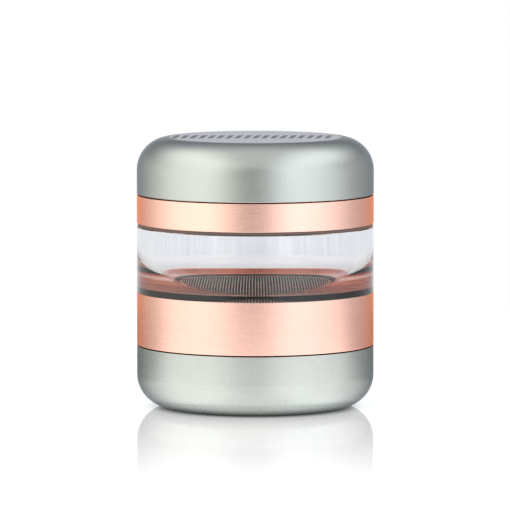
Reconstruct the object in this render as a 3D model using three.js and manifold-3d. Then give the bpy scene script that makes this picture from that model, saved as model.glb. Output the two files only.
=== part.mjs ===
// A herb grinder with a glass storage chamber, in millimetres. It stands on z = 0 and every piece
// is turned round the Z axis. From the bottom: a base cup that catches fine powder; a chamber base
// that screws into it and carries a wire screen and a thick glass chamber; a grinding plate with
// teeth and holes that screws on the glass neck; and a toothed lid that turns on the plate.
import * as THREE from "three";
import { mergeVertices } from "three/addons/utils/BufferGeometryUtils.js";
import Module from "manifold-3d";

const wasm = await Module();
wasm.setup();

// ---- Driving dimensions ----
const OUTER_R = 31.5; // every band of the stack has this radius
const SHOULDER_R = 8.7; // the rounding of the lid's top edge and of the base cup's bottom edge
const FLAT_R = OUTER_R - SHOULDER_R; // the flat of the lid's top and of the foot

// Heights of the seams, from the table up
const CUP_TOP = 16.4;
const BASE_BAND_BOTTOM = 16.7;
const BASE_BAND_TOP = 30.66;
const GLASS_BAND_BOTTOM = 30.8;
const GLASS_SHOULDER = 48.2;
const PLATE_BOTTOM = 49.0;
const PLATE_BAND_TOP = 56.5;
const LID_BOTTOM = 56.8;
const LID_TOP = 71.8;

const GAP = 0.15; // between pieces that rest on each other
const ROUND_SEGMENTS = 48;
const SMALL_SEGMENTS = 24;
const ARC_STEPS = 4;

// Screw threads: the base cup takes the chamber base, the plate takes the glass neck
const PITCH = 2;
const MALE_ROOT_R = 28.6;
const MALE_CREST_R = 29.3;
const FEMALE_ROOT_R = 29.6;
const FEMALE_CREST_R = 28.9;
const MALE_ROOT_HALF = 0.6;
const MALE_CREST_HALF = 0.25;
const FEMALE_ROOT_HALF = 0.5;
const FEMALE_CREST_HALF = 0.2;
const THREAD_STEPS = 32; // per turn
const FADE_STEPS = 4; // over which a thread's end rises to full height
const FADE_START = 0.15;
const EMBED = 0.25; // how far a ridge reaches into the wall that it stands on

// Where each ridge runs: its middle is at zeroZ at turn 0. A female ridge is half a pitch above its
// male one.
const SPIGOT_THREAD = { zeroZ: 12.6, startTurn: 0, turns: 1.2 };
const CUP_THREAD = { zeroZ: SPIGOT_THREAD.zeroZ + PITCH / 2, startTurn: -0.5, turns: 1.1 };
const NECK_THREAD = { zeroZ: 49.2, startTurn: 0, turns: 1.15 };
const PLATE_THREAD = { zeroZ: NECK_THREAD.zeroZ + PITCH / 2, startTurn: 0, turns: 0.9 };

// Base cup
const CUP_FLOOR = 2.6;
const CUP_BOWL_R = 27.0;
const CUP_FILLET_R = 7.0;
const CUP_THREAD_BOTTOM = 11.2;

// Chamber base
const SPIGOT_BOTTOM = 11.9;
const SPIGOT_BORE_R = 25.4;
const O_RING_R = 29.1;
const O_RING_WIRE_R = 0.4;
const O_RING_Z = 16.15;
const O_RING_STEPS = 6;
const SEAT_TOP = 28.2; // the web that carries the glass and has the screen under it
const WEB_THICKNESS = 0.6;
const SCREEN_OPENING_R = 21.2;
const SCREEN_POCKET_R = 23.6;
const SCREEN_POCKET_BOTTOM = 22.4;
const SCREEN_THICKNESS = 0.3;
const SCREEN_GASKET_THICKNESS = 0.8;
const RETAINER_THICKNESS = 2.8;
const RETAINER_BORE_R = 20.8;

// Glass chamber
const GLASS_BORE_R = 26.8;
const GLASS_FOOT_Z = 28.7;
const GLASS_FOOT_R = 29.7;
const GLASS_FLOOR_R = 21.3; // the opening at the foot of the rounded inner floor
const GLASS_FILLET_TOP = 42.5; // where the bore begins to curve in
const GLASS_FILLET_STEPS = 6;
const GLASS_NECK_TOP = 52.3;
const GASKET_OUTER_R = 23.6;
const NECK_SEAL_BORE_R = 29.45; // it slides over the neck's thread
const NECK_SEAL_R = 31.4;

// Grinding plate
const PLATE_FLOOR_BOTTOM = 52.9;
const PLATE_FLOOR_TOP = 55.9;
const PLATE_RIM_R = 28.95;
const PLATE_RIM_BORE_R = 27.3;
const PLATE_RIM_TOP = 64.0;
const PLATE_HOLE_R = 2.1;
const PLATE_HOLE_SEGMENTS = 10;

// Lid
const LID_BORE_R = 29.3;
const LID_CEILING = 68.3;
const LID_FILLET_R = 5.0;
const GLIDE_GROOVE_R = 30.3;
const GLIDE_GROOVE_BOTTOM = 57.9;
const GLIDE_GROOVE_TOP = 60.6;

// Centre bosses with their magnets
const BOSS_R = 5.6;
const BOSS_BORE_R = 4.2;
const MAGNET_R = 4.0;
const MAGNET_THICKNESS = 3.0;
const MAGNET_CAP_THICKNESS = 0.6;
const PLATE_BOSS_TOP = 61.7;
const LID_BOSS_BOTTOM = 62.4;

// Teeth: diamond-section posts in rings, those of the lid between those of the plate
const TOOTH_RADIAL = 3.0;
const TOOTH_ALONG = 5.2;
const TOOTH_TIP = 0.72; // the tip's size over the root's
const PLATE_TOOTH_TOP = 66.4;
const LID_TOOTH_BOTTOM = 57.6;
const TOOTH_SINK = 0.4; // how far a tooth's root is sunk in the plate or the lid
const PLATE_TOOTH_RINGS = [
  { radius: 13.7, count: 6 },
  { radius: 21.1, count: 12 },
];
const LID_TOOTH_RINGS = [
  { radius: 10.0, count: 6 },
  { radius: 17.4, count: 6 },
  { radius: 24.8, count: 12 },
];
const PLATE_HOLE_RINGS = [
  { radius: 9.9, count: 6 },
  { radius: 17.4, count: 12 },
  { radius: 24.6, count: 18 },
];

// ---- Materials ----
const finish = (color, roughness, metalness, more = {}) =>
  new THREE.MeshStandardMaterial({ color, roughness, metalness, ...more });
const silver = () => finish(0xb9c0ba, 0.38, 1);
const copper = () => finish(0xe0a68f, 0.36, 1);
const steel = () => finish(0x9a978f, 0.35, 1);
const nickel = () => finish(0xc4c4c2, 0.2, 1);
const rubber = () => finish(0x17120f, 0.7, 0);
const plastic = () => finish(0xe9e7e0, 0.45, 0);
const glass = () => finish(0xe6eef2, 0.03, 0, { transparent: true, opacity: 0.3 });

// ---- Geometry helpers ----

// A three.js geometry as a manifold-3d solid, without the flat triangles that lie on the axis.
function solidOf(geometry) {
  const bare = new THREE.BufferGeometry();
  bare.setAttribute("position", geometry.getAttribute("position"));
  bare.setIndex(geometry.index);
  const merged = mergeVertices(bare, 1e-4);
  const corners = merged.index.array;
  const kept = [];
  for (let i = 0; i < corners.length; i += 3) {
    const [a, b, c] = corners.slice(i, i + 3);
    if (a !== b && b !== c && c !== a) kept.push(a, b, c);
  }
  const vertProperties = merged.attributes.position.array;
  const triVerts = new Uint32Array(kept);
  return new wasm.Manifold(new wasm.Mesh({ numProp: 3, vertProperties, triVerts }));
}

// The manifold-3d solid as a named three.js mesh.
function piece(name, solid, material) {
  const made = solid.getMesh();
  const geometry = new THREE.BufferGeometry();
  geometry.setAttribute("position", new THREE.BufferAttribute(made.vertProperties, 3));
  geometry.setIndex(new THREE.BufferAttribute(made.triVerts, 1));
  geometry.computeVertexNormals();
  const mesh = new THREE.Mesh(geometry, material);
  mesh.name = name;
  return mesh;
}

// Turns an outline of [radius, height] points round Z. The outline runs up on its outer side. It
// starts and ends on the axis, or it is closed here.
function turned(outline, segments = ROUND_SEGMENTS) {
  const points = outline.map(([r, z]) => new THREE.Vector2(r, z));
  if (points[0].x > 0) points.push(points[0].clone());
  return solidOf(new THREE.LatheGeometry(points, segments).rotateX(Math.PI / 2));
}

// Points of an arc in the outline's plane, from one angle to another in degrees.
function arc(centreR, centreZ, radius, from, to, steps = ARC_STEPS) {
  return ellipseArc(centreR, centreZ, radius, radius, from, to, steps);
}

function ellipseArc(centreR, centreZ, radiusR, radiusZ, from, to, steps = ARC_STEPS) {
  return Array.from({ length: steps + 1 }, (_, i) => {
    const angle = THREE.MathUtils.degToRad(from + ((to - from) * i) / steps);
    return [centreR + radiusR * Math.cos(angle), centreZ + radiusZ * Math.sin(angle)];
  });
}

// A flat washer or a short tube.
function ring(innerR, outerR, bottom, top, segments = ROUND_SEGMENTS) {
  const outline = [
    [innerR, bottom],
    [outerR, bottom],
    [outerR, top],
    [innerR, top],
  ];
  return turned(outline, segments);
}

function disc(radius, bottom, top, segments = SMALL_SEGMENTS) {
  const outline = [
    [0, bottom],
    [radius, bottom],
    [radius, top],
    [0, top],
  ];
  return turned(outline, segments);
}

// A right-hand helical ridge of trapezium section that starts at startTurn and fades in and out.
// Its middle is at height zeroZ at turn 0. Each section runs inner bottom, outer bottom, outer top,
// inner top.
function threadRidge({ innerR, outerR, innerHalf, outerHalf, crestInside, zeroZ, startTurn, turns }) {
  const last = Math.round(turns * THREAD_STEPS);
  const positions = [];
  for (let i = 0; i <= last; i += 1) {
    const turn = startTurn + i / THREAD_STEPS;
    const angle = turn * 2 * Math.PI;
    const z = zeroZ + turn * PITCH;
    const fade = Math.min(1, FADE_START + Math.min(i, last - i) / FADE_STEPS);
    const height = (outerR - innerR - EMBED) * fade + EMBED;
    const low = crestInside ? outerR - height : innerR;
    const high = crestInside ? outerR : innerR + height;
    const section = [
      [low, z - innerHalf],
      [high, z - outerHalf],
      [high, z + outerHalf],
      [low, z + innerHalf],
    ];
    for (const [r, at] of section) positions.push(r * Math.cos(angle), r * Math.sin(angle), at);
  }
  const index = [0, 1, 2, 0, 2, 3];
  for (let i = 0; i < last; i += 1) {
    for (let j = 0; j < 4; j += 1) {
      const a = 4 * i + j;
      const b = 4 * i + ((j + 1) % 4);
      index.push(a, a + 4, b, b, a + 4, b + 4);
    }
  }
  const end = 4 * last;
  index.push(end, end + 2, end + 1, end, end + 3, end + 2);
  const geometry = new THREE.BufferGeometry();
  geometry.setAttribute("position", new THREE.Float32BufferAttribute(positions, 3));
  geometry.setIndex(index);
  return solidOf(geometry);
}

function maleThread(run) {
  return threadRidge({
    innerR: MALE_ROOT_R - EMBED,
    outerR: MALE_CREST_R,
    innerHalf: MALE_ROOT_HALF,
    outerHalf: MALE_CREST_HALF,
    crestInside: false,
    ...run,
  });
}

function femaleThread(run) {
  return threadRidge({
    innerR: FEMALE_CREST_R,
    outerR: FEMALE_ROOT_R + EMBED,
    innerHalf: FEMALE_CREST_HALF,
    outerHalf: FEMALE_ROOT_HALF,
    crestInside: true,
    ...run,
  });
}

// A tooth at a radius and an angle, with its tip at the top or at the bottom.
function tooth(radius, angle, bottom, top, tipUp) {
  const topSize = tipUp ? TOOTH_TIP : 1;
  const bottomSize = tipUp ? 1 : TOOTH_TIP;
  const shape = new THREE.CylinderGeometry(topSize, bottomSize, top - bottom, 4)
    .scale(TOOTH_RADIAL / 2, 1, TOOTH_ALONG / 2)
    .rotateX(Math.PI / 2)
    .translate(radius, 0, (bottom + top) / 2)
    .rotateZ(angle);
  return solidOf(shape);
}

// The teeth of a list of rings. Each ring is turned by half a step, which leaves the X axis free.
function teeth(rings, bottom, top, tipUp) {
  return rings.flatMap(({ radius, count }) =>
    Array.from({ length: count }, (_, i) =>
      tooth(radius, ((i + 0.5) * 2 * Math.PI) / count, bottom, top, tipUp),
    ),
  );
}

// The drops for herb through the plate's floor.
function plateHoles() {
  const height = 2 * (PLATE_FLOOR_TOP - PLATE_FLOOR_BOTTOM); // it passes both faces
  const middle = (PLATE_FLOOR_TOP + PLATE_FLOOR_BOTTOM) / 2;
  return PLATE_HOLE_RINGS.flatMap(({ radius, count }) =>
    Array.from({ length: count }, (_, i) =>
      solidOf(
        new THREE.CylinderGeometry(PLATE_HOLE_R, PLATE_HOLE_R, height, PLATE_HOLE_SEGMENTS)
          .rotateX(Math.PI / 2)
          .translate(radius, 0, middle)
          .rotateZ((i * 2 * Math.PI) / count),
      ),
    ),
  );
}

// ---- Sub-parts ----

function baseCup() {
  const outline = [
    [0, 0],
    ...arc(FLAT_R, SHOULDER_R, SHOULDER_R, -90, 0),
    [OUTER_R, CUP_TOP],
    [FEMALE_ROOT_R, CUP_TOP],
    [FEMALE_ROOT_R, CUP_THREAD_BOTTOM],
    [CUP_BOWL_R, CUP_THREAD_BOTTOM],
    ...arc(CUP_BOWL_R - CUP_FILLET_R, CUP_FLOOR + CUP_FILLET_R, CUP_FILLET_R, 0, -90),
    [0, CUP_FLOOR],
  ];
  return piece("base_cup", turned(outline).add(femaleThread(CUP_THREAD)), silver());
}

function baseORing() {
  const wire = arc(O_RING_R, O_RING_Z, O_RING_WIRE_R, -90, 270, O_RING_STEPS).slice(0, -1);
  return piece("base_o_ring", turned(wire), rubber());
}

function chamberBase() {
  const outline = [
    [SPIGOT_BORE_R, SPIGOT_BOTTOM],
    [MALE_ROOT_R, SPIGOT_BOTTOM],
    [MALE_ROOT_R, BASE_BAND_BOTTOM],
    [OUTER_R, BASE_BAND_BOTTOM],
    [OUTER_R, BASE_BAND_TOP],
    [GLASS_FOOT_R + GAP, BASE_BAND_TOP],
    [GLASS_FOOT_R + GAP, SEAT_TOP],
    [SCREEN_OPENING_R, SEAT_TOP],
    [SCREEN_OPENING_R, SEAT_TOP - WEB_THICKNESS],
    [SCREEN_POCKET_R, SEAT_TOP - WEB_THICKNESS],
    [SCREEN_POCKET_R, SCREEN_POCKET_BOTTOM],
    [SPIGOT_BORE_R, SCREEN_POCKET_BOTTOM],
  ];
  return piece("chamber_base", turned(outline).add(maleThread(SPIGOT_THREAD)), copper());
}

// The screen, its gasket and the ring that holds them up, one under the other in their pocket.
function screenStack() {
  const screenTop = SEAT_TOP - WEB_THICKNESS - GAP;
  const gasketTop = screenTop - SCREEN_THICKNESS - GAP;
  const retainerTop = gasketTop - SCREEN_GASKET_THICKNESS - GAP;
  const edgeR = SCREEN_POCKET_R - GAP;
  const screen = disc(edgeR, screenTop - SCREEN_THICKNESS, screenTop, ROUND_SEGMENTS);
  const gasket = ring(SCREEN_OPENING_R, edgeR, gasketTop - SCREEN_GASKET_THICKNESS, gasketTop);
  const retainer = ring(RETAINER_BORE_R, edgeR, retainerTop - RETAINER_THICKNESS, retainerTop);
  return [
    piece("kief_screen", screen, steel()),
    piece("screen_gasket", gasket, rubber()),
    piece("screen_retaining_ring", retainer, copper()),
  ];
}

function glassGasket() {
  const bottom = SEAT_TOP + GAP / 2;
  const top = GLASS_FOOT_Z - GAP / 2;
  return piece("glass_gasket", ring(GLASS_FLOOR_R, GASKET_OUTER_R, bottom, top), rubber());
}

function glassChamber() {
  const filletHeight = GLASS_FILLET_TOP - GLASS_FOOT_Z;
  const filletDepth = GLASS_BORE_R - GLASS_FLOOR_R;
  const outline = [
    [GLASS_FOOT_R, GLASS_FOOT_Z],
    [GLASS_FOOT_R, GLASS_BAND_BOTTOM],
    [OUTER_R, GLASS_BAND_BOTTOM],
    [OUTER_R, GLASS_SHOULDER],
    [MALE_ROOT_R, GLASS_SHOULDER],
    [MALE_ROOT_R, GLASS_NECK_TOP],
    [GLASS_BORE_R, GLASS_NECK_TOP],
    ...ellipseArc(GLASS_FLOOR_R, GLASS_FILLET_TOP, filletDepth, filletHeight, 0, -90, GLASS_FILLET_STEPS),
  ];
  return piece("glass_chamber", turned(outline).add(maleThread(NECK_THREAD)), glass());
}

function neckSeal() {
  const seal = ring(NECK_SEAL_BORE_R, NECK_SEAL_R, GLASS_SHOULDER + GAP, PLATE_BOTTOM - GAP);
  return piece("neck_seal", seal, rubber());
}

function grindingPlate() {
  const pocketFloor = PLATE_BOSS_TOP - MAGNET_CAP_THICKNESS - MAGNET_THICKNESS - 3 * GAP;
  const outline = [
    [0, PLATE_FLOOR_BOTTOM],
    [FEMALE_ROOT_R, PLATE_FLOOR_BOTTOM],
    [FEMALE_ROOT_R, PLATE_BOTTOM],
    [OUTER_R, PLATE_BOTTOM],
    [OUTER_R, PLATE_BAND_TOP],
    [PLATE_RIM_R, PLATE_BAND_TOP],
    [PLATE_RIM_R, PLATE_RIM_TOP],
    [PLATE_RIM_BORE_R, PLATE_RIM_TOP],
    [PLATE_RIM_BORE_R, PLATE_FLOOR_TOP],
    [BOSS_R, PLATE_FLOOR_TOP],
    [BOSS_R, PLATE_BOSS_TOP],
    [BOSS_BORE_R, PLATE_BOSS_TOP],
    [BOSS_BORE_R, pocketFloor],
    [0, pocketFloor],
  ];
  const toothRoot = PLATE_FLOOR_TOP - TOOTH_SINK;
  const solid = wasm.Manifold.union([
    turned(outline).subtract(wasm.Manifold.union(plateHoles())),
    femaleThread(PLATE_THREAD),
    ...teeth(PLATE_TOOTH_RINGS, toothRoot, PLATE_TOOTH_TOP, true),
  ]);
  return piece("grinding_plate", solid, copper());
}

function glideRing() {
  const bottom = GLIDE_GROOVE_BOTTOM + GAP;
  const solid = ring(PLATE_RIM_R + GAP, GLIDE_GROOVE_R - GAP, bottom, GLIDE_GROOVE_TOP - GAP);
  return piece("glide_ring", solid, plastic());
}

function lidShell() {
  const pocketCeiling = LID_BOSS_BOTTOM + MAGNET_CAP_THICKNESS + MAGNET_THICKNESS + 3 * GAP;
  const filletR = LID_BORE_R - LID_FILLET_R;
  const outline = [
    [0, pocketCeiling],
    [BOSS_BORE_R, pocketCeiling],
    [BOSS_BORE_R, LID_BOSS_BOTTOM],
    [BOSS_R, LID_BOSS_BOTTOM],
    [BOSS_R, LID_CEILING],
    ...arc(filletR, LID_CEILING - LID_FILLET_R, LID_FILLET_R, 90, 0),
    [LID_BORE_R, GLIDE_GROOVE_TOP],
    [GLIDE_GROOVE_R, GLIDE_GROOVE_TOP],
    [GLIDE_GROOVE_R, GLIDE_GROOVE_BOTTOM],
    [LID_BORE_R, GLIDE_GROOVE_BOTTOM],
    [LID_BORE_R, LID_BOTTOM],
    [OUTER_R, LID_BOTTOM],
    ...arc(FLAT_R, LID_TOP - SHOULDER_R, SHOULDER_R, 0, 90),
    [0, LID_TOP],
  ];
  const solid = wasm.Manifold.union([
    turned(outline),
    ...teeth(LID_TOOTH_RINGS, LID_TOOTH_BOTTOM, LID_CEILING + TOOTH_SINK, false),
  ]);
  return piece("lid_shell", solid, silver());
}

// A magnet and its cap in a boss. The cap's outer face is just inside the boss's end.
function magnetPair(prefix, bossEnd, inward) {
  const capFace = bossEnd + inward * GAP;
  const capBack = capFace + inward * MAGNET_CAP_THICKNESS;
  const magnetFace = capBack + inward * GAP;
  const magnetBack = magnetFace + inward * MAGNET_THICKNESS;
  const cap = disc(MAGNET_R, Math.min(capFace, capBack), Math.max(capFace, capBack));
  const magnet = disc(MAGNET_R, Math.min(magnetFace, magnetBack), Math.max(magnetFace, magnetBack));
  return [piece(`${prefix}_magnet`, magnet, nickel()), piece(`${prefix}_magnet_cap`, cap, steel())];
}

// ---- The assembly ----
const grinder = new THREE.Group();
grinder.name = "glass_chamber_grinder";
grinder.add(baseCup());
grinder.add(baseORing());
grinder.add(chamberBase(), ...screenStack());
grinder.add(glassGasket(), glassChamber());
grinder.add(neckSeal());
grinder.add(grindingPlate(), ...magnetPair("plate", PLATE_BOSS_TOP, -1));
grinder.add(glideRing());
grinder.add(lidShell(), ...magnetPair("lid", LID_BOSS_BOTTOM, 1));

export default grinder;
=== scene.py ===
"""Looks of the glass-chamber herb grinder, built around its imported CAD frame.

Every piece is turned, woven or cut in mesh code where its CAD node lies. Sizes in the outlines are
millimetres in the part's frame, and the meshes are made in metres. An outline is a list of
(radius, height) or (radius, height, rounding) corners that runs up on the piece's outer side.
"""

import math

import bmesh
import bpy
from mathutils import Matrix, Vector


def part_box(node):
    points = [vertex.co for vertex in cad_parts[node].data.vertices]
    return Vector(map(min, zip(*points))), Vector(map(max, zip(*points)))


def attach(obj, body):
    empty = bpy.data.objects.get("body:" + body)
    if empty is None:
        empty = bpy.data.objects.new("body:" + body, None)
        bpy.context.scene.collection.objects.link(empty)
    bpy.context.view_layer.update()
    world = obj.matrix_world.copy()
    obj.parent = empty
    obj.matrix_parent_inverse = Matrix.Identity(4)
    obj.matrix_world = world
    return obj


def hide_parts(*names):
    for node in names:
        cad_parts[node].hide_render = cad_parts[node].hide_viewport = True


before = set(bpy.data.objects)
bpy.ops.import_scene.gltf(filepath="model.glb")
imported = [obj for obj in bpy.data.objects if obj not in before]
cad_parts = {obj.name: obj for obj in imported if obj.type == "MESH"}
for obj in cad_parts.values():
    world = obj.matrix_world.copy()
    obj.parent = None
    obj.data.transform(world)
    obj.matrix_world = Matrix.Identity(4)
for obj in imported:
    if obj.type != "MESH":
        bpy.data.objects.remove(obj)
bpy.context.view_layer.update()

MM = 0.001
TURN = 2 * math.pi

# ---- Heights and radii read from the frame, in millimetres ----


def low(node):
    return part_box(node)[0].z / MM


def high(node):
    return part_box(node)[1].z / MM


def reach(node):
    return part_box(node)[1].x / MM


OUTER_R = reach("lid_shell")
LID_TOP = high("lid_shell")
CUP_TOP = high("base_cup")
SPIGOT_BOTTOM = low("chamber_base")
BASE_BAND_TOP = high("chamber_base")
GLASS_FOOT_Z = low("glass_chamber")
NECK_TOP = high("glass_chamber")
PLATE_BOTTOM = low("grinding_plate")
PLATE_TOOTH_TOP = high("grinding_plate")

# ---- Other sizes of the design, in millimetres ----
SEAM = 0.06  # what the eye sees between two pieces that rest on each other
BOND = 0.02  # the clear glue under the glass leaves no air, so the seat lies this far inside it
EDGE = 0.18  # rounding of a turned edge
SHOULDER_R = 8.7
BASE_BAND_BOTTOM = 16.7
GLASS_SHOULDER = 48.2
PLATE_BAND_TOP = 56.5
LID_BOTTOM = 56.8

PITCH = 2.0
MALE_ROOT_R = 28.6
MALE_CREST_R = 29.3
FEMALE_ROOT_R = 29.6
FEMALE_CREST_R = 28.9
MALE_HALVES = (0.6, 0.25)  # half of a ridge's width at its root and at its crest
FEMALE_HALVES = (0.5, 0.2)
SPIGOT_THREAD_Z = 12.6
NECK_THREAD_Z = 49.2
THREAD_STEPS = 96  # sections in one turn of a screw ridge
FADE_TURNS = 0.12  # the ridge rises from nearly nothing over this part of a turn
FADE_FROM = 0.15  # and this is the part of its depth that it starts from
EMBED = 0.25  # how far a ridge is sunk into the wall that carries it

CUP_FLOOR = 2.6
CUP_BOWL_R = 27.0
CUP_FILLET_R = 7.0
CUP_THREAD_BOTTOM = 11.2

SPIGOT_BORE_R = 25.4
SEAT_TOP = 28.2
WEB_THICKNESS = 0.6
OPENING_R = 21.2
POCKET_R = 23.6
POCKET_BOTTOM = 22.4
GASKET_R = 24.5
GASKET_GAP = 0.01
RETAINING_BORE_R = 20.8
SCREEN_RIM = 0.1  # the weave stops this far inside its node's edge

GLASS_BORE_R = 26.8
GLASS_FOOT_R = 29.7
GLASS_FLOOR_R = 21.8
GLASS_FILLET_TOP = 41.4
LIP_SLOPE = math.radians(65.3)  # how steeply the glass rises from the edge of its opening
LIP_PULL = 4.17  # how strongly the bowl's curve keeps to that slope at its foot
WALL_PULL = 8.44  # and to the upright wall at its top

PLATE_FLOOR_BOTTOM = 52.9
PLATE_FLOOR_TOP = 55.9
PLATE_RIM_R = 28.95
PLATE_RIM_BORE_R = 27.3
PLATE_RIM_TOP = 64.0
HOLE_R = 2.1
HOLE_CHAMFER = 0.35

LID_BORE_R = 29.3
LID_CEILING = 68.3
LID_FILLET_R = 5.0
LID_TOOTH_BOTTOM = 57.6
GLIDE_GAP = 0.15  # round the glide ring in the lid's groove
GLIDE_INNER_R = PLATE_RIM_R + 0.1
SEAL_INNER_R = 29.45
SEAL_SET_BACK = 0.15

BOSS_R = 5.6
BOSS_BORE_R = 4.2
PLATE_BOSS_TOP = 61.7
LID_BOSS_BOTTOM = 62.4
MAGNET_POCKET = 4.05

TOOTH_RADIAL = 3.0
TOOTH_ALONG = 5.2
TOOTH_TIP = 0.72
TOOTH_SINK = 0.4
TOOTH_BEVEL = 0.16
PLATE_TOOTH_RINGS = ((13.7, 6), (21.1, 12))
LID_TOOTH_RINGS = ((10.0, 6), (17.4, 6), (24.8, 12))
PLATE_HOLE_RINGS = ((9.9, 6), (17.4, 12), (24.6, 18))

TICKS = 18
TICK_SPACING = 2.38
TICK_WIDTH = 1.3
TICK_LENGTH = 11.0
TICK_SLANT = 0.6  # how far each end is moved sideways
TICK_ROW_SHIFT = -0.8
ENGRAVING_DEPTH = 0.12
CUTTER_OVER = 1.0  # how far the engraving's cutters stand out of the lid

WIRE_PITCH = 0.8
WARP_R = 0.16
WEFT_R = 0.10
WEAVE_LIFT = 0.07  # the warp lies this far over the middle, and the weft this far under it
CRIMP = 0.03
WIRE_SIDES = 8
STEPS_PER_PITCH = 4
SHADE_FADE_HEIGHT = 0.09  # the painted shade on the wires fades out from the weave's middle up to this much over it

ROUND = 192  # segments round a turned piece
GLASS_ROUND = 256
DISC_ROUND = 96
HOLE_ROUND = 24
ROUND_STEP = math.radians(5)  # of a big fillet
EASED_STEPS = 4  # of an eased edge
BIG_FILLET = 1.0  # a rounding over this radius is a shape of its own, not an eased edge
SHARE_OF_SIDE = 0.49  # how much of a side the easing of one of its ends may use
STRAIGHT = 0.05  # a corner within this angle of straight or of folded back stays as it is
LONG_RUN = 0.9  # a straight run of an outline that is longer than this gets held flat
HOLD = 0.06  # by a point this far from each of its ends
ON_AXIS = 1e-6  # a smaller radius is none
SAME_HEIGHT = 0.004  # a face this near to a height lies on it

# ---- Camera and studio ----
VIEW_ELEVATION = math.radians(5.29)
VIEW_TARGET_Z = 40.3
VIEW_DISTANCE = 47.8885 * OUTER_R
LENS = 400.2353  # long, as the photograph's seams are nearly straight
SENSOR = 36.0
SIDE_SHIFT = -0.000588  # of the picture's width


def camera():
    """A long lens a little over the object's middle, as in the photograph."""
    data = bpy.data.cameras.new("camera")
    data.sensor_width = SENSOR
    data.lens = LENS
    data.shift_x = SIDE_SHIFT
    data.clip_end = 20.0
    cam = bpy.data.objects.new("camera", data)
    bpy.context.scene.collection.objects.link(cam)
    away = Vector((0, -math.cos(VIEW_ELEVATION), math.sin(VIEW_ELEVATION)))
    cam.location = Vector((0, 0, VIEW_TARGET_Z * MM)) + away * VIEW_DISTANCE * MM
    cam.rotation_euler = (math.pi / 2 - VIEW_ELEVATION, 0, 0)
    bpy.context.scene.camera = cam


class Nodes:
    """A node tree with one-line adding and linking."""

    def __init__(self, tree):
        self.tree = tree

    def add(self, kind, **settings):
        node = self.tree.nodes.new(kind)
        for name, value in settings.items():
            setattr(node, name, value)
        return node

    def put(self, socket, value):
        """Links an output to a socket, or sets the socket's own value."""
        if isinstance(value, bpy.types.NodeSocket):
            self.tree.links.new(value, socket)
        else:
            socket.default_value = value

    def math(self, operation, *values):
        node = self.add("ShaderNodeMath", operation=operation)
        for socket, value in zip(node.inputs, values):
            self.put(socket, value)
        return node.outputs[0]

    def smooth(self, value, start, end, out_start=0.0, out_end=1.0):
        """A smooth step of value from start to end."""
        node = self.add("ShaderNodeMapRange", interpolation_type="SMOOTHSTEP")
        inputs = (value, start, end, out_start, out_end)
        for socket, given in zip(node.inputs, inputs):
            self.put(socket, given)
        return node.outputs[0]

    def mix(self, factor, a, b):
        """A mix of two colours."""
        node = self.add("ShaderNodeMix", data_type="RGBA")
        self.put(node.inputs[0], factor)
        self.put(node.inputs[6], a)
        self.put(node.inputs[7], b)
        return node.outputs[2]

    def mix_value(self, factor, a, b):
        """A mix of two plain values."""
        node = self.add("ShaderNodeMix", data_type="FLOAT")
        self.put(node.inputs[0], factor)
        self.put(node.inputs[2], a)
        self.put(node.inputs[3], b)
        return node.outputs[0]

    def noise(self, vector, scale, detail=2.0, roughness=0.5):
        node = self.add("ShaderNodeTexNoise")
        self.put(node.inputs["Vector"], vector)
        self.put(node.inputs["Scale"], scale)
        self.put(node.inputs["Detail"], detail)
        self.put(node.inputs["Roughness"], roughness)
        return node.outputs["Fac"]

    def combine(self, x, y, z):
        node = self.add("ShaderNodeCombineXYZ")
        for socket, value in zip(node.inputs, (x, y, z)):
            self.put(socket, value)
        return node.outputs[0]

    def split(self, vector):
        node = self.add("ShaderNodeSeparateXYZ")
        self.put(node.inputs[0], vector)
        return node.outputs

    def place(self):
        """Where the shaded point lies on its own piece."""
        return self.add("ShaderNodeTexCoord").outputs["Object"]

    def bump(self, shader, height, strength, depth):
        node = self.add("ShaderNodeBump")
        self.put(node.inputs["Strength"], strength)
        self.put(node.inputs["Distance"], depth)
        self.put(node.inputs["Height"], height)
        self.put(shader.inputs["Normal"], node.outputs[0])


# The studio's brightness round the object at its own height, as (degrees from the camera's side, level)
AROUND = (
    (-180, 1.05),
    (-160, 0.90),
    (-145, 0.76),
    (-125, 0.78),
    (-108, 1.02),
    (-88, 1.42),
    (-70, 1.55),
    (-48, 1.64),
    (-30, 1.28),
    (-16, 0.68),
    (-2, 0.47),
    (10, 0.70),
    (26, 1.44),
    (42, 1.66),
    (60, 1.48),
    (76, 1.28),
    (92, 0.96),
    (108, 0.66),
    (130, 0.60),
    (150, 0.72),
    (163, 0.92),
    (180, 1.05),
)
BACK_ROOM = 0.50  # the room over the white backdrop
OVERHEAD = 0.86
SIDE_BOX_TOP = 0.85  # what the softboxes at the sides add overhead
DIM_BEHIND = 0.68  # overhead light behind the object, as a part of that in front
# Where one light gives way to the next, from and to. The first is an angle from the camera's side,
# and the others are parts of a direction of unit length: rising, sideways or away from the camera.
BACKDROP_SIDE = (math.radians(115), math.radians(150))
BACKDROP_EDGE = (0.16, 0.32)
OVERHEAD_EDGE = (0.30, 0.78)
SIDE_BOX_EDGE = (0.12, 0.6)
DIM_EDGE = (0.15, 0.75)
THROUGH_EDGE = (-0.85, -0.45)
WARM_TO_COOL = (-0.5, 0.5)
BACKDROP_TINT = (0.945, 0.965, 1.0, 1.0)
WARM_LEFT = (1.0, 1.0, 0.95, 1.0)
COOL_RIGHT = (0.975, 1.0, 1.03, 1.0)
WHITE = (1.0, 1.0, 1.0, 1.0)
DIFFUSE_LIGHT = 1.3
PATH_LENGTH = 32  # light goes round inside the thick glass wall many times before it leaves
THROUGH_GLASS = 0.86  # the backdrop as seen through the glass, with upright streaks
STREAKS_PER_UNIT = 45.0
STREAK_DEPTH = 0.10
NOISE_RANGE = (0.3, 0.7)  # a noise stays between these nearly everywhere


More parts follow.
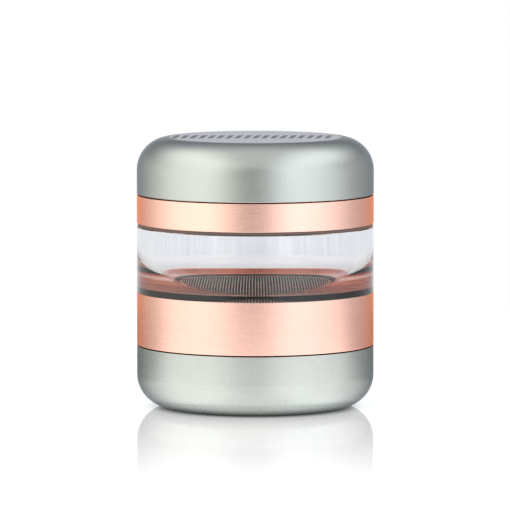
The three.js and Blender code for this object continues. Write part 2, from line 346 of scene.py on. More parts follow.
def level_around(n, x, y):
    """The brightness at the object's own height by compass direction, and how far that is behind."""
    azimuth = n.math("ARCTAN2", x, n.math("MULTIPLY", y, -1.0))
    ramp = n.add("ShaderNodeValToRGB")
    elements = ramp.color_ramp.elements
    while len(elements) < len(AROUND):
        elements.new(0.5)
    # A ramp holds nothing over 1, so it carries half of each level
    for element, (degrees, level) in zip(elements, AROUND):
        element.position = (degrees + 180) / 360
        element.color = (level / 2, level / 2, level / 2, 1.0)
    n.put(ramp.inputs[0], n.math("MULTIPLY_ADD", azimuth, 1 / TURN, 0.5))
    behind = n.smooth(n.math("ABSOLUTE", azimuth), *BACKDROP_SIDE)
    return n.math("MULTIPLY", ramp.outputs[0], 2.0), behind


def level_overhead(n, x, y):
    """Brighter to the sides, where the softboxes reach up, and dimmer behind."""
    sides = n.smooth(n.math("ABSOLUTE", x), *SIDE_BOX_EDGE, 0.0, SIDE_BOX_TOP)
    level = n.math("ADD", sides, OVERHEAD)
    return n.math("MULTIPLY", level, n.smooth(y, *DIM_EDGE, 1.0, DIM_BEHIND))


def level_through_glass(n, x):
    """An even backdrop with faint upright streaks, for rays that have passed the glass."""
    across = n.combine(n.math("MULTIPLY", x, STREAKS_PER_UNIT), 0.0, 0.0)
    streaks = n.noise(across, 1.0, detail=3.0, roughness=0.75)
    return n.smooth(streaks, *NOISE_RANGE, THROUGH_GLASS - STREAK_DEPTH, THROUGH_GLASS + STREAK_DEPTH)


def background(n, colour, level):
    """A world shader of that colour and brightness."""
    node = n.add("ShaderNodeBackground")
    n.put(node.inputs["Color"], colour)
    n.put(node.inputs["Strength"], level)
    return node.outputs[0]


def studio():
    """White behind the object, a softbox on each side that reaches up over it, and a dim front."""
    world = bpy.data.worlds.new("studio")
    bpy.context.scene.world = world
    world.use_nodes = True
    n = Nodes(world.node_tree)
    n.tree.nodes.clear()
    x, y, z = n.split(n.add("ShaderNodeTexCoord").outputs["Generated"])
    around, behind = level_around(n, x, y)
    above_backdrop = n.math("MULTIPLY", behind, n.smooth(z, *BACKDROP_EDGE))
    around = n.mix_value(above_backdrop, around, BACK_ROOM)
    level = n.mix_value(n.smooth(z, *OVERHEAD_EDGE), around, level_overhead(n, x, y))
    path = n.add("ShaderNodeLightPath")
    through = n.math("MULTIPLY", path.outputs["Is Transmission Ray"], n.smooth(y, *THROUGH_EDGE))
    level = n.mix_value(through, level, level_through_glass(n, x))
    cast = n.mix(n.smooth(x, *WARM_TO_COOL), WARM_LEFT, COOL_RIGHT)
    colour = n.mix(n.math("MAXIMUM", behind, through), cast, BACKDROP_TINT)
    diffuse = path.outputs["Is Diffuse Ray"]
    both = n.add("ShaderNodeMixShader")
    n.put(both.inputs[0], n.math("MAXIMUM", path.outputs["Is Camera Ray"], diffuse))
    n.put(both.inputs[1], background(n, colour, level))
    n.put(both.inputs[2], background(n, WHITE, n.mix_value(diffuse, 1.0, DIFFUSE_LIGHT)))
    out = n.add("ShaderNodeOutputWorld")
    n.put(out.inputs[0], both.outputs[0])
    scene = bpy.context.scene
    scene.view_settings.view_transform = "Standard"
    scene.cycles.max_bounces = PATH_LENGTH
    scene.cycles.glossy_bounces = PATH_LENGTH
    scene.cycles.transmission_bounces = PATH_LENGTH


# The table. Its radii are metres from the object's axis, and its levels are brightness.
FLOOR_R = 0.26
TABLE_GREY = (0.2, 0.2, 0.2, 1.0)
TABLE_ROUGHNESS = 0.6
POLISH_ROUGHNESS = 0.05
GLOSS = 0.5  # the polish's part at the object, which fades out from GLOSS_NEAR to GLOSS_FAR
GLOSS_NEAR = 0.03
GLOSS_FAR = 0.19
TABLE_LEVEL = 0.84  # what the camera sees of the table's own light
TABLE_THROUGH_GLASS = 0.62  # what is seen of it through the glass
GLOW_FRONT = 1.45  # what falls on the object from before it, as far as GLOW_NEAR
GLOW_FRONT_FAR = 0.60  # and from GLOW_FAR on
GLOW_NEAR = 0.09
GLOW_FAR = 0.22
GLOW_BACK = 0.25  # what falls on the object from behind it
GLOW_FRONT_Y = -0.03  # from here to GLOW_BACK_Y the one gives way to the other
GLOW_BACK_Y = 0.05
CONTACT_R = 0.0225  # painted shadow: the table's light is dimmed to none under the foot, as far as this
SHADOW_R = 0.0305  # and full light from here on


def table_light(n, away, y):
    """The table's own light: even for the camera, and for the object brighter in front of it. A painted
    shadow darkens it round the foot.
    """
    path = n.add("ShaderNodeLightPath")
    front = n.smooth(away, GLOW_NEAR, GLOW_FAR, GLOW_FRONT, GLOW_FRONT_FAR)
    glow = n.mix_value(n.smooth(y, GLOW_FRONT_Y, GLOW_BACK_Y), front, GLOW_BACK)
    lit = n.mix_value(path.outputs["Is Transmission Ray"], glow, TABLE_THROUGH_GLASS)
    lit = n.mix_value(path.outputs["Is Camera Ray"], lit, TABLE_LEVEL)
    # painted contact shadow round the foot
    return n.math("MULTIPLY", lit, n.smooth(away, CONTACT_R, SHADOW_R))


def floor():
    """A white light table whose polish shows only close to the object."""
    made = bmesh.new()
    bmesh.ops.create_circle(made, cap_ends=True, segments=128, radius=FLOOR_R)
    mesh = bpy.data.meshes.new("table")
    made.to_mesh(mesh)
    made.free()
    table = bpy.data.objects.new("table", mesh)
    bpy.context.scene.collection.objects.link(table)
    material, n, shader = blank("table_white")
    length = n.add("ShaderNodeVectorMath", operation="LENGTH")
    n.put(length.inputs[0], n.place())
    away = length.outputs["Value"]
    n.put(shader.inputs["Base Color"], TABLE_GREY)
    n.put(shader.inputs["Roughness"], TABLE_ROUGHNESS)
    n.put(shader.inputs["Specular IOR Level"], 0.0)
    n.put(shader.inputs["Emission Color"], WHITE)
    n.put(shader.inputs["Emission Strength"], table_light(n, away, n.split(n.place())[1]))
    polish = n.add("ShaderNodeBsdfGlossy")
    n.put(polish.inputs["Roughness"], POLISH_ROUGHNESS)
    n.put(polish.inputs["Color"], WHITE)
    fade = n.add("ShaderNodeMixShader")
    n.put(fade.inputs[0], n.smooth(away, GLOSS_NEAR, GLOSS_FAR, GLOSS, 0.0))
    n.put(fade.inputs[1], shader.outputs[0])
    n.put(fade.inputs[2], polish.outputs[0])
    n.put(n.tree.nodes["Material Output"].inputs[0], fade.outputs[0])
    mesh.materials.append(material)


# ---- Materials ----
MICRON = 1e-6  # the depth of every bump is given in these

# How often a noise repeats in a metre, and how often tool marks do along a radian of their circle
FINE_LINES = 7000.0
FINE_ALONG = 30.0
COARSE_LINES = 3000.0
COARSE_ALONG = 5.0
RINGS = 2300.0
RINGS_ALONG = 1.0
BLAST = 3600.0
MOTTLE = 260.0
WEAR = 900.0
MILLING = 4000.0
DUST = 500.0
DRAWING = 6000.0
GLASS_WAVES = 170.0
MOULD_GRAIN = 3500.0

COARSE_PART = 0.35  # of the lines
BLAST_PART = 0.5  # of the lines and the blasting together
MOTTLE_PART = 0.14  # of the whole shade
BLAST_HEIGHT = 0.4  # against the height of the lines
RING_HEIGHT = 0.5
ROUGHNESS_SPREAD = 0.05
MOULDED_SPREAD = 0.06
WEAVE_MIDDLE = high("kief_screen") - WARP_R - WEAVE_LIFT - CRIMP


def blank(name):
    material = bpy.data.materials.new(name)
    material.use_nodes = True
    n = Nodes(material.node_tree)
    return material, n, n.tree.nodes["Principled BSDF"]


def opaque(colour, level=1.0):
    """A colour at a part of its brightness or over it, but never over white."""
    return tuple(min(1.0, c * level) for c in colour) + (1.0,)


def tool_marks(n, radius, height, angle, across, along, detail, roughness):
    """Marks of the turning tool follow a circle: close together across it and long along it."""
    over = n.math("MULTIPLY", radius, across)
    up = n.math("MULTIPLY", height, across)
    return n.noise(n.combine(over, up, n.math("MULTIPLY", angle, along)), 1.0, detail, roughness)


def turned_metal(name, colour, edge_tint, roughness, grain):
    """Anodised turned metal: fine lines round the Z axis, a bead-blasted grain and soft mottling."""
    material, n, shader = blank(name)
    place = n.place()
    x, y, z = n.split(place)
    radius = n.math("SQRT", n.math("ADD", n.math("MULTIPLY", x, x), n.math("MULTIPLY", y, y)))
    angle = n.math("ARCTAN2", y, x)
    fine = tool_marks(n, radius, z, angle, FINE_LINES, FINE_ALONG, 3.0, 0.7)
    coarse = tool_marks(n, radius, z, angle, COARSE_LINES, COARSE_ALONG, 2.0, 0.6)
    rings = tool_marks(n, radius, z, angle, RINGS, RINGS_ALONG, 1.0, 0.5)
    blast = n.noise(place, BLAST, 2.0, 0.7)
    mottle = n.noise(place, MOTTLE, 3.0, 0.6)
    lines = n.mix_value(COARSE_PART, fine, coarse)
    shade = n.mix_value(MOTTLE_PART, n.mix_value(BLAST_PART, lines, blast), mottle)
    shade = n.smooth(shade, *NOISE_RANGE)
    n.put(shader.inputs["Base Color"], n.mix(shade, opaque(colour, 1 - grain), opaque(colour, 1 + grain)))
    n.put(shader.inputs["Metallic"], 1.0)
    n.put(shader.inputs["Specular Tint"], opaque(edge_tint))
    smoother, rougher = roughness - ROUGHNESS_SPREAD, roughness + ROUGHNESS_SPREAD
    n.put(shader.inputs["Roughness"], n.smooth(lines, *NOISE_RANGE, smoother, rougher))
    height = n.math("ADD", n.math("MULTIPLY", blast, BLAST_HEIGHT), n.math("MULTIPLY", rings, RING_HEIGHT))
    n.bump(shader, n.math("ADD", lines, height), strength=0.25, depth=5 * MICRON)
    return material


def machined_metal(name, colour, roughness):
    """Plain milled or plated metal with faint wear."""
    material, n, shader = blank(name)
    wear = n.noise(n.place(), WEAR, 4.0, 0.65)
    worn = n.mix(n.smooth(wear, 0.35, 0.65), opaque(colour, 0.86), opaque(colour))
    n.put(shader.inputs["Base Color"], worn)
    n.put(shader.inputs["Metallic"], 1.0)
    n.put(shader.inputs["Roughness"], n.smooth(wear, *NOISE_RANGE, roughness * 0.8, roughness * 1.25))
    n.bump(shader, n.noise(n.place(), MILLING), strength=0.3, depth=10 * MICRON)
    return material


def woven_wire(name, colour, painted_shade_colour, roughness):
    """Bright drawn wire with painted shade: under the crossing wires, its low parts are painted dark, matt
    and unmetallic.
    """
    material, n, shader = blank(name)
    height = n.split(n.place())[2]
    # painted shade: dark below the weave's middle, the wire's own colour with random dust over it
    unshaded = n.smooth(height, WEAVE_MIDDLE * MM, (WEAVE_MIDDLE + SHADE_FADE_HEIGHT) * MM)
    dust = n.noise(n.place(), DUST, 4.0, 0.6)
    wire_tone = n.mix(n.smooth(dust, 0.35, 0.7), opaque(colour, 0.72), opaque(colour))
    n.put(shader.inputs["Base Color"], n.mix(unshaded, opaque(painted_shade_colour), wire_tone))
    n.put(shader.inputs["Metallic"], n.mix_value(unshaded, 0.0, 0.5))
    n.put(shader.inputs["Roughness"], n.mix_value(unshaded, 0.8, roughness))
    n.bump(shader, n.noise(n.place(), DRAWING), strength=0.2, depth=10 * MICRON)
    return material


def clear_glass(name):
    """Pressed glass, which is not quite even: slow waves run up its wall."""
    material, n, shader = blank(name)
    n.put(shader.inputs["Base Color"], (0.962, 0.970, 0.985, 1.0))
    n.put(shader.inputs["Transmission Weight"], 1.0)
    n.put(shader.inputs["Roughness"], 0.0)
    n.put(shader.inputs["IOR"], 1.5)
    x, y, z = n.split(n.place())
    waves = n.noise(n.combine(x, y, n.math("MULTIPLY", z, 0.15)), GLASS_WAVES)
    n.bump(shader, waves, strength=0.25, depth=60 * MICRON)
    return material


def moulded(name, colour, roughness, speckle, specular=0.5):
    """Rubber or plastic with a fine moulded grain. Held against glass, it has no gloss of its own."""
    material, n, shader = blank(name)
    grain = n.noise(n.place(), MOULD_GRAIN, 3.0, 0.6)
    n.put(shader.inputs["Specular IOR Level"], specular)
    n.put(shader.inputs["Base Color"], n.mix(grain, opaque(colour, 1 - speckle), opaque(colour, 1 + speckle)))
    smoother, rougher = roughness - MOULDED_SPREAD, roughness + MOULDED_SPREAD
    n.put(shader.inputs["Roughness"], n.smooth(grain, *NOISE_RANGE, smoother, rougher))
    n.bump(shader, grain, strength=0.3, depth=20 * MICRON)
    return material


# ---- Mesh helpers ----


def on_circle(radius, angle, height):
    """A point round Z, in metres, of a radius and a height in millimetres."""
    return radius * math.cos(angle) * MM, radius * math.sin(angle) * MM, height * MM


def fillet(before, corner, after, radius):
    """The corner's points rounded to that radius, as an arc that meets both sides."""
    corner = Vector(corner)
    towards = (Vector(before) - corner).normalized()
    onward = (Vector(after) - corner).normalized()
    inside = math.acos(max(-1.0, min(1.0, towards.dot(onward))))
    if radius <= 0 or inside < STRAIGHT or inside > math.pi - STRAIGHT:
        return [corner]
    big = radius > BIG_FILLET
    shorter = min((Vector(before) - corner).length, (Vector(after) - corner).length)
    room = shorter if big else SHARE_OF_SIDE * shorter
    cut = min(radius / math.tan(inside / 2), room)
    radius = cut * math.tan(inside / 2)
    centre = corner + (towards + onward).normalized() * radius / math.sin(inside / 2)
    steps = max(3, round((math.pi - inside) / ROUND_STEP)) if big else EASED_STEPS
    start = corner + towards * cut - centre
    end = corner + onward * cut - centre
    sweep = start.angle_signed(end)
    points = []
    for i in range(steps + 1):
        a = -sweep * i / steps
        cos, sin = math.cos(a), math.sin(a)
        points.append(centre + Vector((start.x * cos - start.y * sin, start.x * sin + start.y * cos)))
    return points


def softened(outline, edge=EDGE):
    """An outline's points with every corner off the axis rounded."""
    closed = outline[0][0] > 0
    count = len(outline)
    points = []
    for i, corner in enumerate(outline):
        at_end = not closed and i in (0, count - 1)
        radius = corner[2] if len(corner) > 2 else edge
        if at_end:
            points.append(Vector(corner[:2]))
            continue
        before = outline[i - 1][:2]
        after = outline[(i + 1) % count][:2]
        points += fillet(before, corner[:2], after, radius)
    return points


def held_flat(points, closed):
    """The points with two more in each long straight run, so that its shading stays even."""
    held = []
    count = len(points)
    for i, here in enumerate(points):
        held.append(here)
        there = points[(i + 1) % count]
        run = there - here
        if run.length > LONG_RUN and (closed or i < count - 1):
            step = run.normalized() * HOLD
            held += [here + step, there - step]
    return held


def turned(outline, edge=EDGE, segments=ROUND):
    """A bmesh of the softened outline turned round Z."""
    closed = outline[0][0] > 0
    points = held_flat(softened(outline, edge), closed)
    made = bmesh.new()
    columns = []
    for r, z in points:
        if r < ON_AXIS:
            centre = made.verts.new((0, 0, z * MM))
            columns.append([centre] * segments)
            continue
        columns.append([made.verts.new(on_circle(r, TURN * k / segments, z)) for k in range(segments)])
    pairs = list(zip(columns, columns[1:]))
    if closed:
        pairs.append((columns[-1], columns[0]))
    for here, there in pairs:
        for k in range(segments):
            m = (k + 1) % segments
            corners = [here[k], here[m], there[m], there[k]]
            corners = [v for j, v in enumerate(corners) if v not in corners[:j]]
            made.faces.new(corners)
    return made


def finished(made, name, body, node, slot, *materials, sharp=32):
    """The piece as an object on its body, for its node. Edges sharper than so many degrees stay edges."""
    bmesh.ops.recalc_face_normals(made, faces=made.faces)
    mesh = bpy.data.meshes.new(name)
    made.to_mesh(mesh)
    made.free()
    for material in materials:
        mesh.materials.append(material)
    mesh.shade_smooth()
    mesh.set_sharp_from_angle(angle=math.radians(sharp))
    piece = bpy.data.objects.new(name, mesh)
    bpy.context.scene.collection.objects.link(piece)
    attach(piece, body)
    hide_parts(node)


def joined(base, other, operation):
    """base with other added or cut away, as a new bmesh."""
    objects = []
    for made in (base, other):
        bmesh.ops.recalc_face_normals(made, faces=made.faces)
        mesh = bpy.data.meshes.new("operand")
        made.to_mesh(mesh)
        made.free()
        operand = bpy.data.objects.new("operand", mesh)
        bpy.context.scene.collection.objects.link(operand)
        objects.append(operand)
    modifier = objects[0].modifiers.new("boolean", "BOOLEAN")
    modifier.operation = operation
    modifier.solver = "EXACT"
    modifier.use_self = operation == "UNION"
    modifier.object = objects[1]
    graph = bpy.context.evaluated_depsgraph_get()
    result = bmesh.new()
    result.from_mesh(objects[0].evaluated_get(graph).to_mesh())
    for operand in objects:
        mesh = operand.data
        bpy.data.objects.remove(operand)
        bpy.data.meshes.remove(mesh)
    return result


def skin(made, sections):
    """Faces along a row of sections of as many points, and over its two ends."""
    for here, there in zip(sections, sections[1:]):
        for j in range(len(here)):
            k = (j + 1) % len(here)
            made.faces.new([here[j], here[k], there[k], there[j]])
    made.faces.new(sections[0])
    made.faces.new(sections[-1][::-1])


def ridge(root_r, crest_r, root_half, crest_half, zero_z, start_turn, turns):
    """A right-hand screw ridge that stands on root_r and fades out at both ends."""
    outward = 1 if crest_r > root_r else -1
    last = round(turns * THREAD_STEPS)
    made = bmesh.new()
    sections = []
    for i in range(last + 1):
        turn = start_turn + i / THREAD_STEPS
        z = zero_z + turn * PITCH
        ends = min(i, last - i) / THREAD_STEPS
        fade = min(1.0, FADE_FROM + ends / FADE_TURNS)
        crest = root_r + (crest_r - root_r) * fade
        deep = root_r - outward * EMBED
        lower = [(deep, z - root_half), (crest, z - crest_half)]
        upper = [(crest, z + crest_half), (deep, z + root_half)]
        sections.append([made.verts.new(on_circle(r, turn * TURN, h)) for r, h in lower + upper])
    skin(made, sections)
    return made


def male_ridge(zero_z, start_turn, turns):
    """The ridge round a spigot or a neck."""
    return ridge(MALE_ROOT_R, MALE_CREST_R, *MALE_HALVES, zero_z, start_turn, turns)


def female_ridge(zero_z, start_turn, turns):
    """The ridge inside a rim, half a pitch up, so that it lies between the turns of the other."""
    return ridge(FEMALE_ROOT_R, FEMALE_CREST_R, *FEMALE_HALVES, zero_z + PITCH / 2, start_turn, turns)


def merged(parts):
    """Several bmeshes as one, which leaves the parts freed."""
    whole = bmesh.new()
    for part in parts:
        mesh = bpy.data.meshes.new("part")
        part.to_mesh(mesh)
        part.free()
        whole.from_mesh(mesh)
        bpy.data.meshes.remove(mesh)
    return whole


def prism(corners, z0, z1, tip0=1.0, tip1=1.0):
    """A straight or tapered prism on a flat outline of (x, y) points round the origin."""
    made = bmesh.new()
    lower = [made.verts.new((x * tip0 * MM, y * tip0 * MM, z0 * MM)) for x, y in corners]
    upper = [made.verts.new((x * tip1 * MM, y * tip1 * MM, z1 * MM)) for x, y in corners]
    made.faces.new(lower[::-1])
    made.faces.new(upper)
    for i in range(len(corners)):
        k = (i + 1) % len(corners)
        made.faces.new([lower[i], lower[k], upper[k], upper[i]])
    return made


def placed(made, radius, angle):
    """Moves a bmesh out along X and turns it round Z."""
    bmesh.ops.transform(
        made,
        matrix=Matrix.Rotation(angle, 4, "Z") @ Matrix.Translation((radius * MM, 0, 0)),
        verts=made.verts,
    )
    return made


def teeth(rings, z0, z1, tip_up):
    """Diamond-section teeth with eased edges. Each ring is turned by half a step."""
    half_r, half_a = TOOTH_RADIAL / 2, TOOTH_ALONG / 2
    diamond = [(half_r, 0), (0, half_a), (-half_r, 0), (0, -half_a)]
    sizes = (1.0, TOOTH_TIP) if tip_up else (TOOTH_TIP, 1.0)
    parts = []
    for radius, count in rings:
        for i in range(count):
            tooth = prism(diamond, z0, z1, *sizes)
            bmesh.ops.bevel(tooth, geom=tooth.edges[:], offset=TOOTH_BEVEL * MM, segments=2, affect="EDGES")
            parts.append(placed(tooth, radius, (i + 0.5) * TURN / count))
    return merged(parts)


# ---- Pieces ----


def base_cup(metal):
    """The cup, with a thread inside its rim."""
    outline = [
        (0, 0),
        (OUTER_R, 0, SHOULDER_R),
        (OUTER_R, CUP_TOP),
        (FEMALE_ROOT_R, CUP_TOP, 0.3),
        (FEMALE_ROOT_R, CUP_THREAD_BOTTOM),
        (CUP_BOWL_R, CUP_THREAD_BOTTOM),
        (CUP_BOWL_R, CUP_FLOOR, CUP_FILLET_R),
        (0, CUP_FLOOR),
    ]
    cup = joined(turned(outline), female_ridge(SPIGOT_THREAD_Z, start_turn=-0.5, turns=1.1), "UNION")
    finished(cup, "base_cup_turned", "base", "base_cup", "silver_anodised", metal)


def base_o_ring(rubber):
    """A ring of round section, made of a square one whose corners are rounded away."""
    bottom, top, outer = low("base_o_ring"), high("base_o_ring"), reach("base_o_ring")
    wire = (top - bottom) / 2
    centre = outer - wire
    outline = [
        (centre - wire, bottom, wire),
        (outer, bottom, wire),
        (outer, top, wire),
        (centre - wire, top, wire),
    ]
    finished(turned(outline), "base_o_ring_round", "base_seal", "base_o_ring", "black_rubber", rubber)


def chamber_base(metal):
    """The lower band with its threaded spigot, the seat of the glass and the web over the screen."""
    outline = [
        (SPIGOT_BORE_R, SPIGOT_BOTTOM),
        (MALE_ROOT_R, SPIGOT_BOTTOM, 0.3),
        (MALE_ROOT_R, BASE_BAND_BOTTOM, 0.05),
        (OUTER_R, BASE_BAND_BOTTOM),
        (OUTER_R, BASE_BAND_TOP),
        (GLASS_FOOT_R - BOND, BASE_BAND_TOP, 0.05),
        (GLASS_FOOT_R - BOND, GLASS_FOOT_Z + BOND, 0.05),
        (GASKET_R, GLASS_FOOT_Z + BOND, 0),
        (GASKET_R, SEAT_TOP, 0),
        (OPENING_R, SEAT_TOP, 0.1),
        (OPENING_R, SEAT_TOP - WEB_THICKNESS, 0.1),
        (POCKET_R, SEAT_TOP - WEB_THICKNESS, 0.05),
        (POCKET_R, POCKET_BOTTOM),
        (SPIGOT_BORE_R, POCKET_BOTTOM),
    ]
    band = joined(turned(outline), male_ridge(SPIGOT_THREAD_Z, start_turn=0, turns=1.2), "UNION")
    finished(band, "chamber_base_turned", "jar", "chamber_base", "copper_anodised", metal)


def wire_along(made, across, family, row, edge):
    """One wire of the screen. It rises over every other crossing wire."""
    radius, lift = (WARP_R, WEAVE_LIFT) if family == 0 else (WEFT_R, -WEAVE_LIFT)
    half = math.sqrt(edge * edge - across * across)
    steps = max(STEPS_PER_PITCH, int(2 * half / (WIRE_PITCH / STEPS_PER_PITCH)))
    sections = []
    for q in range(steps + 1):
        along = -half + 2 * half * q / steps
        z = WEAVE_MIDDLE + lift + CRIMP * math.cos(math.pi * (along / WIRE_PITCH + row + family))
        section = []
        for a in range(WIRE_SIDES):
            u = across + radius * math.cos(TURN * a / WIRE_SIDES)
            h = z + radius * math.sin(TURN * a / WIRE_SIDES)
            x, y = (u, along) if family == 0 else (along, u)
            section.append(made.verts.new((x * MM, y * MM, h * MM)))
        sections.append(section)
    skin(made, sections)


def woven_screen(wire):
    """The warp and the weft, wire by wire, cut off round."""
    edge = reach("kief_screen") - SCREEN_RIM
    made = bmesh.new()
    count = int(edge / WIRE_PITCH)
    for family in range(2):
        for row in range(-count, count + 1):
            wire_along(made, row * WIRE_PITCH, family, row, edge)
    finished(made, "kief_screen_woven", "jar", "kief_screen", "screen_wire", wire, sharp=60)


def plain_ring(name, node, body, slot, material, inner, edge=EDGE):
    """A washer or a short tube in its node's own box."""
    bottom, top, outer = low(node), high(node), reach(node)
    outline = [(inner, bottom), (outer, bottom), (outer, top), (inner, top)]
    finished(turned(outline, edge), name, body, node, slot, material)


def glass_gasket(rubber):
    """The dark ring pressed against the glass from below, as wide as the opening's seat."""
    bottom = SEAT_TOP + GASKET_GAP
    outer = GASKET_R - GASKET_GAP
    outline = [
        (GLASS_FLOOR_R, bottom, 0.1),
        (outer, bottom, 0),
        (outer, GLASS_FOOT_Z + BOND, 0),
        (GLASS_FLOOR_R, GLASS_FOOT_Z + BOND, 0),
    ]
    finished(turned(outline), "glass_gasket_ring", "jar", "glass_gasket", "black_rubber", rubber)


def bowl_curve(steps=36):
    """The inside of the glass: a steep lip at the opening, a flatter shoulder, then the upright wall."""
    edge = Vector((GLASS_FLOOR_R, GLASS_FOOT_Z))
    lip = edge + Vector((math.cos(LIP_SLOPE), math.sin(LIP_SLOPE))) * LIP_PULL
    wall = Vector((GLASS_BORE_R, GLASS_FILLET_TOP))
    bend = wall - Vector((0, WALL_PULL))
    curve = []
    for i in range(steps):
        down = i / steps
        up = 1 - down
        at = edge * down**3 + lip * 3 * down**2 * up + bend * 3 * down * up**2 + wall * up**3
        curve.append((at.x, at.y, 0))
    return curve


def glass_chamber(glass):
    """A thick ring with a foot below, a neck above and a bowl that narrows to its open floor."""
    outline = [
        (GLASS_FLOOR_R, GLASS_FOOT_Z, 0),
        (GLASS_FOOT_R, GLASS_FOOT_Z, 0.1),
        (GLASS_FOOT_R, BASE_BAND_TOP - BOND, 0),
        (OUTER_R, BASE_BAND_TOP - BOND, 0.15),
        (OUTER_R, GLASS_SHOULDER, 0.3),
        (MALE_ROOT_R, GLASS_SHOULDER, 0.2),
        (MALE_ROOT_R, NECK_TOP, 0.4),
        (GLASS_BORE_R, NECK_TOP, 0.4),
        *bowl_curve(),
    ]
    thread = male_ridge(NECK_THREAD_Z, start_turn=0, turns=1.15)
    ring = joined(turned(outline, segments=GLASS_ROUND), thread, "UNION")
    finished(ring, "glass_chamber_clear", "jar", "glass_chamber", "clear_glass", glass, sharp=20)


def neck_seal(rubber):
    """The dark ring seen between the glass and the plate, set back a little from both."""
    outer = reach("neck_seal") - SEAL_SET_BACK
    bottom = GLASS_SHOULDER + SEAM
    top = PLATE_BOTTOM - SEAM
    outline = [(SEAL_INNER_R, bottom), (outer, bottom), (outer, top), (SEAL_INNER_R, top)]
    finished(turned(outline, edge=0.12), "neck_seal_ring", "neck_ring", "neck_seal", "black_rubber", rubber)


def plate_holes():
    """A cutter for each drop hole, whose chamfer goes on past the top face."""
    parts = []
    middle = (PLATE_FLOOR_BOTTOM + PLATE_FLOOR_TOP) / 2
    span = PLATE_FLOOR_TOP - PLATE_FLOOR_BOTTOM
    for radius, count in PLATE_HOLE_RINGS:
        for i in range(count):
            angle = i * TURN / count
            outline = [
                (0, middle - span),
                (HOLE_R, middle - span, 0),
                (HOLE_R, PLATE_FLOOR_TOP - HOLE_CHAMFER, 0),
                (HOLE_R + HOLE_CHAMFER * 2, PLATE_FLOOR_TOP + HOLE_CHAMFER, 0),
                (0, PLATE_FLOOR_TOP + HOLE_CHAMFER),
            ]
            parts.append(placed(turned(outline, segments=HOLE_ROUND), radius, angle))
    return merged(parts)


def grinding_plate(metal):
    """The upper band with its thread, its rim, its drop holes, its teeth and the magnet's boss."""
    outline = [
        (0, PLATE_FLOOR_BOTTOM),
        (FEMALE_ROOT_R, PLATE_FLOOR_BOTTOM),
        (FEMALE_ROOT_R, PLATE_BOTTOM, 0.3),
        (OUTER_R, PLATE_BOTTOM),
        (OUTER_R, PLATE_BAND_TOP),
        (PLATE_RIM_R, PLATE_BAND_TOP, 0.1),
        (PLATE_RIM_R, PLATE_RIM_TOP, 0.4),
        (PLATE_RIM_BORE_R, PLATE_RIM_TOP, 0.4),
        (PLATE_RIM_BORE_R, PLATE_FLOOR_TOP, 0.4),
        (BOSS_R, PLATE_FLOOR_TOP, 0.4),
        (BOSS_R, PLATE_BOSS_TOP),
        (BOSS_BORE_R, PLATE_BOSS_TOP),
        (BOSS_BORE_R, PLATE_BOSS_TOP - MAGNET_POCKET, 0),
        (0, PLATE_BOSS_TOP - MAGNET_POCKET),
    ]
    plate = joined(turned(outline), plate_holes(), "DIFFERENCE")
    plate = joined(plate, female_ridge(NECK_THREAD_Z, start_turn=0, turns=0.9), "UNION")
    roots = PLATE_FLOOR_TOP - TOOTH_SINK
    plate = joined(plate, teeth(PLATE_TOOTH_RINGS, roots, PLATE_TOOTH_TOP, tip_up=True), "UNION")
    finished(plate, "grinding_plate_toothed", "plate", "grinding_plate", "copper_anodised", metal)


def engraving():
    """A row of short slanted ticks across the lid's top, as cutters."""
    half_w, half_l = TICK_WIDTH / 2, TICK_LENGTH / 2
    near = [(-half_w - TICK_SLANT, -half_l), (half_w - TICK_SLANT, -half_l)]
    far = [(half_w + TICK_SLANT, half_l), (-half_w + TICK_SLANT, half_l)]
    parts = []
    for i in range(TICKS):
        x = (i - (TICKS - 1) / 2) * TICK_SPACING + TICK_ROW_SHIFT
        corners = [(cx + x, cy) for cx, cy in near + far]
        parts.append(prism(corners, LID_TOP - ENGRAVING_DEPTH, LID_TOP + CUTTER_OVER))
    return merged(parts)


def lid_shell(metal, ink, faced):
    """The cap, with a groove for the glide ring, a faced top and ink in its engraving."""
    groove_bottom = low("glide_ring") - GLIDE_GAP
    groove_top = high("glide_ring") + GLIDE_GAP
    groove_r = reach("glide_ring") + GLIDE_GAP
    outline = [
        (0, LID_BOSS_BOTTOM + MAGNET_POCKET),
        (BOSS_BORE_R, LID_BOSS_BOTTOM + MAGNET_POCKET, 0),
        (BOSS_BORE_R, LID_BOSS_BOTTOM),
        (BOSS_R, LID_BOSS_BOTTOM),
        (BOSS_R, LID_CEILING, 0.4),
        (LID_BORE_R, LID_CEILING, LID_FILLET_R),
        (LID_BORE_R, groove_top, 0.05),
        (groove_r, groove_top, 0.05),
        (groove_r, groove_bottom, 0.05),
        (LID_BORE_R, groove_bottom, 0.05),
        (LID_BORE_R, LID_BOTTOM, 0.3),
        (OUTER_R, LID_BOTTOM),
        (OUTER_R, LID_TOP, SHOULDER_R),
        (0, LID_TOP),
    ]
    lid = joined(turned(outline), engraving(), "DIFFERENCE")
    roots = LID_CEILING + TOOTH_SINK
    lid = joined(lid, teeth(LID_TOOTH_RINGS, LID_TOOTH_BOTTOM, roots, tip_up=False), "UNION")
    for face in lid.faces:
        z = face.calc_center_median().z / MM
        if abs(z - LID_TOP + ENGRAVING_DEPTH) < SAME_HEIGHT:
            face.material_index = 1
        elif z > LID_TOP - SAME_HEIGHT:
            face.material_index = 2
    finished(lid, "lid_shell_turned", "lid", "lid_shell", "silver_anodised", metal, ink, faced)


def small_disc(name, node, body, slot, material, edge):
    """A disc in its node's own box."""
    bottom, top, outer = low(node), high(node), reach(node)
    outline = [(0, bottom), (outer, bottom), (outer, top), (0, top)]
    finished(turned(outline, edge, segments=DISC_ROUND), name, body, node, slot, material)


# ---- The scene ----
camera()
studio()
floor()

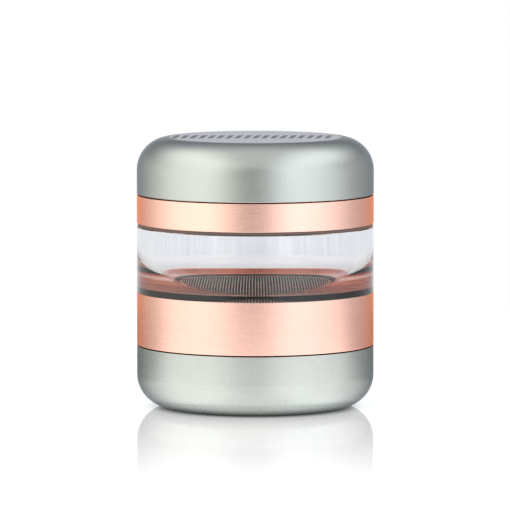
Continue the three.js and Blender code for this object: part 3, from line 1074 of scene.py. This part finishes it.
silver = turned_metal("silver_anodised", (0.495, 0.520, 0.490), (0.39, 0.41, 0.45), 0.27, 0.045)
copper = turned_metal("copper_anodised", (0.98, 0.60, 0.50), (1.0, 0.45, 0.27), 0.27, 0.045)
faced = turned_metal("silver_faced", (0.50, 0.50, 0.52), (0.48, 0.48, 0.52), 0.14, 0.03)
steel = machined_metal("steel", (0.62, 0.61, 0.58), 0.3)
nickel = machined_metal("nickel_plate", (0.74, 0.73, 0.70), 0.18)
# the second colour is the painted shade low in the weave
wire = woven_wire("screen_wire", (1.0, 0.95, 0.83), (0.03, 0.026, 0.022), 0.34)
rubber = moulded("black_rubber", (0.018, 0.014, 0.012), 0.55, 0.3)
wetted_rubber = moulded("wetted_rubber", (0.012, 0.010, 0.009), 0.9, 0.3, specular=0.0)
seal_rubber = moulded("seal_rubber", (0.115, 0.082, 0.072), 0.55, 0.15)
plastic = moulded("white_plastic", (0.82, 0.81, 0.77), 0.42, 0.04)
ink = moulded("engraving_ink", (0.09, 0.10, 0.115), 0.5, 0.15)
glass = clear_glass("clear_glass")

base_cup(silver)
base_o_ring(rubber)
chamber_base(copper)
woven_screen(wire)
plain_ring("screen_gasket_ring", "screen_gasket", "jar", "black_rubber", rubber, OPENING_R, edge=0.2)
plain_ring(
    "screen_retaining_ring_turned",
    "screen_retaining_ring",
    "jar",
    "copper_anodised",
    copper,
    RETAINING_BORE_R,
    edge=0.3,
)
glass_gasket(wetted_rubber)
glass_chamber(glass)
neck_seal(seal_rubber)
grinding_plate(copper)
small_disc("plate_magnet_disc", "plate_magnet", "plate", "magnet_nickel", nickel, edge=0.25)
small_disc("plate_magnet_cap_disc", "plate_magnet_cap", "plate", "steel", steel, edge=0.1)
plain_ring("glide_ring_turned", "glide_ring", "glide", "white_plastic", plastic, GLIDE_INNER_R, edge=0.12)
lid_shell(silver, ink, faced)
small_disc("lid_magnet_disc", "lid_magnet", "lid", "magnet_nickel", nickel, edge=0.25)
small_disc("lid_magnet_cap_disc", "lid_magnet_cap", "lid", "steel", steel, edge=0.1)
